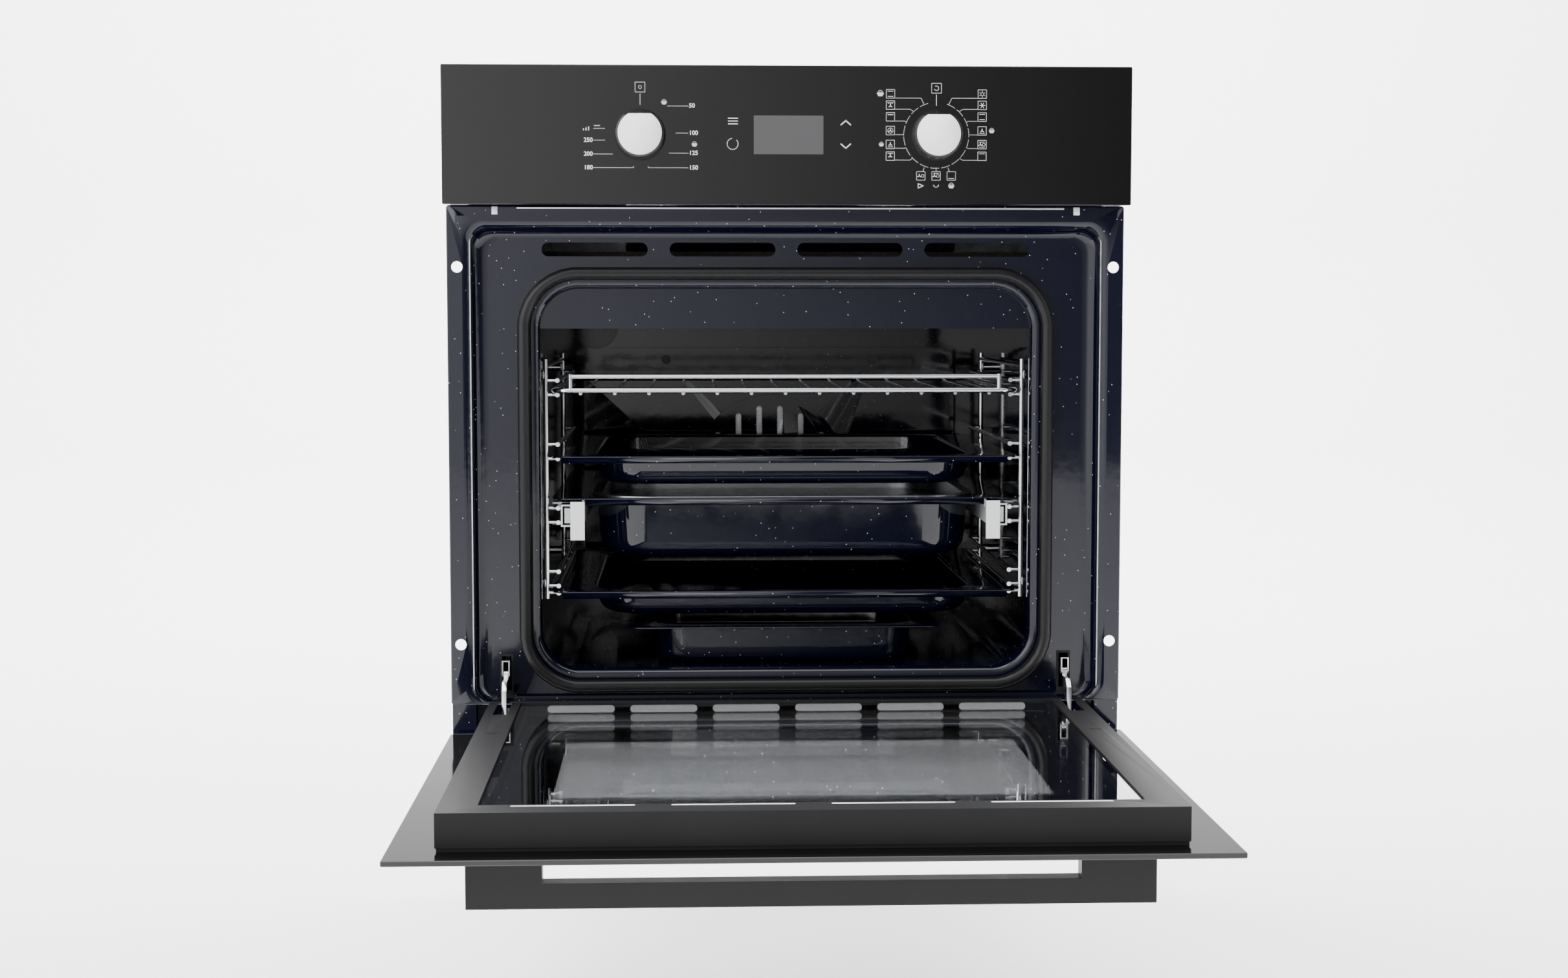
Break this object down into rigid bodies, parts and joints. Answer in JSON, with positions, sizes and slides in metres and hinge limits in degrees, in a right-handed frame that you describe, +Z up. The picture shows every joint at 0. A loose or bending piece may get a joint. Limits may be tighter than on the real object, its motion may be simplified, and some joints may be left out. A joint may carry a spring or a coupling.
{
  "type": "wall oven",
  "caption": "Built-in electric oven with a glazed drop-down door, rotary knobs, display, telescopic rails, rack, trays and convection fan.",
  "frame": {"origin": "centre of the four cabinet screws, in the plane of the flange's rear face, where the oven seats on the cabinet's front edge", "axes": "+X to the right seen from the front, +Y into the cabinet, +Z up"},
  "size_m": [0.595, 1.0354, 0.6304],
  "materials": {
    "blue_enamel": "gloss",
    "chrome_wire": "polished",
    "bright_steel": "satin",
    "galvanised_steel": "spangled",
    "black_steel": "satin",
    "satin_black_handle": "satin",
    "black_glass": "gloss",
    "clear_glass": "gloss",
    "gasket_rubber": "satin",
    "heater_sheath": "matte",
    "ceramic_body": "satin",
    "bulb_glass": "gloss",
    "insulation_wool": "matte",
    "control_plastic": "matte",
    "board": "satin",
    "display": "gloss",
    "knob_finish": "gloss"
  },
  "bodies": {
    "oven_body": {"front_frame": "blue_enamel", "lower_front_panel": "blue_enamel", "door_gasket": "gasket_rubber", "cavity": "blue_enamel", "grill_shield": "blue_enamel", "grill_element": "heater_sheath", "ring_element": "heater_sheath", "base_element": "heater_sheath", "fan_cover": "blue_enamel", "fan_cover_screws": "chrome_wire", "fan_motor": "galvanised_steel", "lamp_holder": "ceramic_body", "lamp_bulb": "bulb_glass", "lamp_glass": "clear_glass", "side_rack_left": "chrome_wire", "side_rack_right": "chrome_wire", "rack_studs": "chrome_wire", "rail_bases": "bright_steel", "insulation": "insulation_wool", "top_cover": "galvanised_steel", "side_panel_left": "galvanised_steel", "side_panel_right": "galvanised_steel", "rear_panel": "galvanised_steel", "base_plate": "galvanised_steel", "cooling_duct": "bright_steel", "cooling_motor": "galvanised_steel", "fascia_glass": "black_glass", "fascia_housing": "black_steel", "display_module": "display", "control_board": "board", "thermostat": "control_plastic", "function_selector": "control_plastic", "terminal_box": "control_plastic", "hinge_receiver_left": "black_steel", "hinge_receiver_right": "black_steel", "hinge_arm_left": "chrome_wire", "hinge_arm_right": "chrome_wire"},
    "door": {"door_frame": "black_steel", "door_outer_glass": "black_glass", "door_middle_glass": "clear_glass", "door_inner_glass": "clear_glass", "door_handle": "satin_black_handle", "handle_screws": "bright_steel", "hinge_housings": "chrome_wire", "hinge_pins": "chrome_wire", "hinge_springs": "bright_steel"},
    "temperature_knob": {"temperature_knob": "knob_finish"},
    "function_knob": {"function_knob": "knob_finish"},
    "convection_fan": {"convection_fan": "bright_steel"},
    "cooling_fan": {"cooling_fan": "black_steel"},
    "latch_left": {"hinge_latch_left": "chrome_wire"},
    "latch_right": {"hinge_latch_right": "chrome_wire"},
    "wire_rack": {"wire_rack": "chrome_wire"},
    "upper_tray": {"upper_tray": "blue_enamel"},
    "deep_pan": {"deep_pan": "blue_enamel", "perforated_insert": "bright_steel", "rail_slide_left": "bright_steel", "rail_slide_right": "bright_steel"},
    "lower_tray": {"lower_tray": "blue_enamel"},
    "small_pan": {"small_pan": "blue_enamel"}
  },
  "joints": [
    {"name": "door_hinge", "type": "hinge", "parent": "oven_body", "child": "door", "pos_m": [0, -0.0248, -0.2403], "axis": [1, 0, 0], "range_deg": [-90, 0]},
    {"name": "temperature_knob_turn", "type": "hinge", "parent": "oven_body", "child": "temperature_knob", "pos_m": [-0.1275, -0.033, 0.279], "axis": [0, 1, 0], "range_deg": [0, 290]},
    {"name": "function_knob_turn", "type": "hinge", "parent": "oven_body", "child": "function_knob", "pos_m": [0.1275, -0.033, 0.279], "axis": [0, 1, 0], "continuous": true},
    {"name": "convection_fan_spin", "type": "hinge", "parent": "oven_body", "child": "convection_fan", "pos_m": [0, 0.459, -0.0407], "axis": [0, 1, 0], "continuous": true},
    {"name": "cooling_fan_spin", "type": "hinge", "parent": "oven_body", "child": "cooling_fan", "pos_m": [0, 0.429, 0.2133], "axis": [1, 0, 0], "continuous": true},
    {"name": "latch_left_flip", "type": "hinge", "parent": "oven_body", "child": "latch_left", "pos_m": [-0.24935, 0.005, -0.1937], "axis": [1, 0, 0], "range_deg": [0, 75]},
    {"name": "latch_right_flip", "type": "hinge", "parent": "oven_body", "child": "latch_right", "pos_m": [0.24935, 0.005, -0.1937], "axis": [1, 0, 0], "range_deg": [0, 75]},
    {"name": "wire_rack_slide", "type": "slide", "parent": "oven_body", "child": "wire_rack", "axis": [0, -1, 0], "range_m": [0, 0.3]},
    {"name": "upper_tray_slide", "type": "slide", "parent": "oven_body", "child": "upper_tray", "axis": [0, -1, 0], "range_m": [0, 0.3]},
    {"name": "deep_pan_rail_slide", "type": "slide", "parent": "oven_body", "child": "deep_pan", "axis": [0, -1, 0], "range_m": [0, 0.25]},
    {"name": "lower_tray_slide", "type": "slide", "parent": "oven_body", "child": "lower_tray", "axis": [0, -1, 0], "range_m": [0, 0.3]},
    {"name": "small_pan_slide", "type": "slide", "parent": "oven_body", "child": "small_pan", "axis": [0, -1, 0], "range_m": [0, 0.28]}
  ]
}
